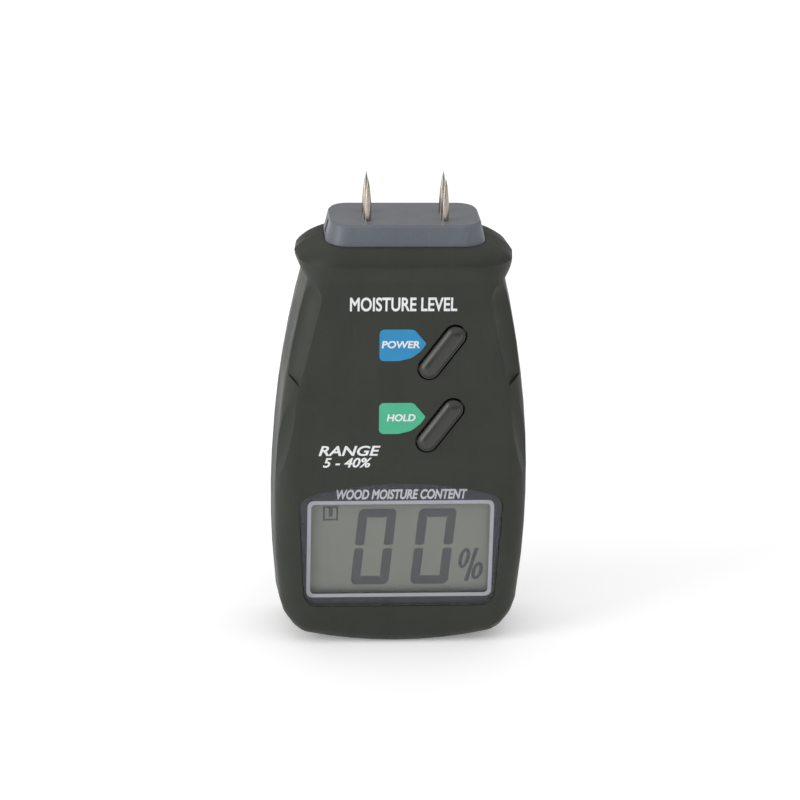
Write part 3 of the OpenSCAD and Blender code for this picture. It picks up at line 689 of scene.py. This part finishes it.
def lens_loop(inset):
    """Outline of the lens, drawn in by inset: tapering sides, round shoulders, a shallow arch."""
    low, high = edges_of("display_lens")
    side, foot, peak = high.x - inset, low.z + inset, high.z - inset
    taper, foot_r, top_r, arch_r = 1.3, 3.8 - inset, 3.8 - inset, 84 - inset
    arch_z = peak - arch_r
    shoulder = side - top_r
    shoulder_z = arch_z + math.sqrt((arch_r - top_r) ** 2 - shoulder ** 2)
    spread = math.degrees(math.asin(shoulder / (arch_r - top_r)))
    corner = side - taper - foot_r
    return (arc(corner, foot + foot_r, foot_r, -90, 0) + arc(shoulder, shoulder_z, top_r, 0, 90 - spread)
            + arc(0, arch_z, arch_r, 90 - spread, 90 + spread, 20)[1:-1]
            + arc(-shoulder, shoulder_z, top_r, 90 + spread, 180)
            + arc(-corner, foot + foot_r, foot_r, 180, 270))


def lens_prints(white, navy, lavender):
    """The dark border, the pale frame line and the words printed inside the back of the lens."""
    back = edges_of("display_lens")[1].y
    near, far = back - 0.06, back - 0.01
    (left, foot), (right, top), line = WINDOW_LOW, WINDOW_HIGH, FRAME_LINE
    outer = box_loop(left, foot, right, top, 1.6)
    inner = box_loop(left + line, foot + line, right - line, top - line, 1.1)
    print_shape("lens_border", [lens_loop(0.12), outer], near, far, navy)
    print_shape("lens_frame_line", [outer, inner], near, far, lavender)
    print_words("lens_words", "WOOD MOISTURE CONTENT", (-16.3, 39.3), (16.6, 42.0),
                back - 0.1, back - 0.05, white, 0.22, 0.035)


# the lit digits, in millimetres; a digit leans right by DIGIT_LEAN for each step up
DIGIT_FOOT = 15.5
DIGIT_WIDE = 9.6
DIGIT_TALL = 20.7
DIGIT_LEAN = 0.09
SEGMENT_BAR = 2.35
SEGMENT_GAP = 0.14
SEGMENT_MITRE = 0.42
MIDDLE_GAP = 0.3


def upright_segment(outside, inside, end, way):
    """One side of a 0, from its corner at height end to the middle; way is 1 for the lower half."""
    middle = DIGIT_FOOT + DIGIT_TALL / 2 - way * MIDDLE_GAP
    centre = (outside + inside) / 2
    return [
        (outside, end + way * (SEGMENT_GAP + SEGMENT_MITRE * 2)),
        (outside, middle - way * SEGMENT_MITRE), (centre, middle),
        (inside, middle - way * SEGMENT_MITRE), (inside, end + way * (SEGMENT_BAR + SEGMENT_GAP)),
        ((outside * 3 + inside) / 4, end + way * SEGMENT_MITRE),
    ]


def level_segment(x, end, way):
    """The top or the foot of a 0, mitred at both ends."""
    tip, corner, inner = SEGMENT_MITRE, SEGMENT_MITRE * 2.2, SEGMENT_BAR + SEGMENT_GAP
    right = x + DIGIT_WIDE
    return [
        (x + tip, end + way * tip), (x + corner, end),
        (right - corner, end), (right - tip, end + way * tip),
        (right - inner, end + way * SEGMENT_BAR), (x + inner, end + way * SEGMENT_BAR),
    ]


def digit_loops(x):
    """The six lit segments of a seven-segment 0 that leans to the right, with small gaps."""
    top = DIGIT_FOOT + DIGIT_TALL
    right = x + DIGIT_WIDE
    loops = []
    for end, way in ((DIGIT_FOOT, 1), (top, -1)):
        loops.append(upright_segment(x, x + SEGMENT_BAR, end, way))
        loops.append(upright_segment(right, right - SEGMENT_BAR, end, way))
    for end, way in ((DIGIT_FOOT, 1), (top, -1)):
        loops.append(level_segment(x, end, way))
    middle = DIGIT_FOOT + DIGIT_TALL / 2
    return [[(px + DIGIT_LEAN * (pz - middle), pz) for px, pz in loop] for loop in loops]


def percent_loops():
    """The two rings and the bar of the percent sign, by name, in millimetres."""
    stroke = 0.9
    marks = {}
    for name, x, z, tall in (("percent_upper", 16.5, 22.5, 2.75), ("percent_lower", 19.9, 19.0, 2.4)):
        marks[name] = [ellipse(x, z, 1.4, tall, 0.2), ellipse(x, z, 0.45, tall - stroke, 0.2)]
    marks["percent_bar"] = [[(16.6, 16.2), (17.6, 16.2), (20.1, 25.3), (19.1, 25.3)]]
    return marks


def cell_sign_loops():
    """The outline and the filled bar of the battery sign, by name, in millimetres."""
    left, low, right, top = -19.5, 33.1, -15.7, 37.0
    line, bar = 0.5, 0.5
    middle = (left + right) / 2
    inside = box_loop(left + line, low + line, right - line, top - line)
    filled = box_loop(middle - bar, low + line * 2, middle + bar, top - line)
    return {"cell_sign_box": [box_loop(left, low, right, top), inside], "cell_sign_bar": [filled]}


def display_marks(ink):
    """The lit segments, the percent sign and the battery sign, on the film over the front glass."""
    plane = edges_of("lcd_front_glass")[0].y
    marks = {}
    for side, x in (("left", -11.4), ("right", 3.75)):
        for number, loop in enumerate(digit_loops(x)):
            marks[f"{side}_digit_{number}"] = [loop]
    marks.update(percent_loops())
    marks.update(cell_sign_loops())
    for name, loops in marks.items():
        print_shape(name, loops, plane - 0.03, plane + 0.01, ink)


def bay_marks(finish):
    """Raised plus and minus signs on the wall behind the cells."""
    reach, half = 1.2, 0.3
    low, high = edges_of("cell_1")
    wall = low.y - 0.3
    foot, top = low.z + 5, high.z - 5
    for number in range(1, 5):
        low, high = edges_of(f"cell_{number}")
        x = (low.x + high.x) / 2
        plus_z, minus_z = (top, foot) if number % 2 else (foot, top)
        signs = {
            "plus_across": box_loop(x - reach, plus_z - half, x + reach, plus_z + half),
            "plus_upright": box_loop(x - half, plus_z - reach, x + half, plus_z + reach),
            "minus": box_loop(x - reach, minus_z - half, x + reach, minus_z + half),
        }
        for part, loop in signs.items():
            print_shape(f"bay_{part}_{number}", [loop], wall - 0.1, wall + 0.15, finish)


make_camera()
make_studio()
make_floor()
finishes = make_finishes()
dress_nodes(finishes)
white_ink = printed_ink("white_ink", WHITE_INK)
case_prints(white_ink, printed_ink("blue_ink", BLUE_INK), printed_ink("green_ink", GREEN_INK))
lens_prints(printed_ink("lens_white_ink", LENS_WORDS), printed_ink("navy_ink", NAVY_INK),
            printed_ink("lavender_ink", FRAME_INK))
display_marks(printed_ink("segment_ink", SEGMENT))
bay_marks(finishes["case_plastic"])
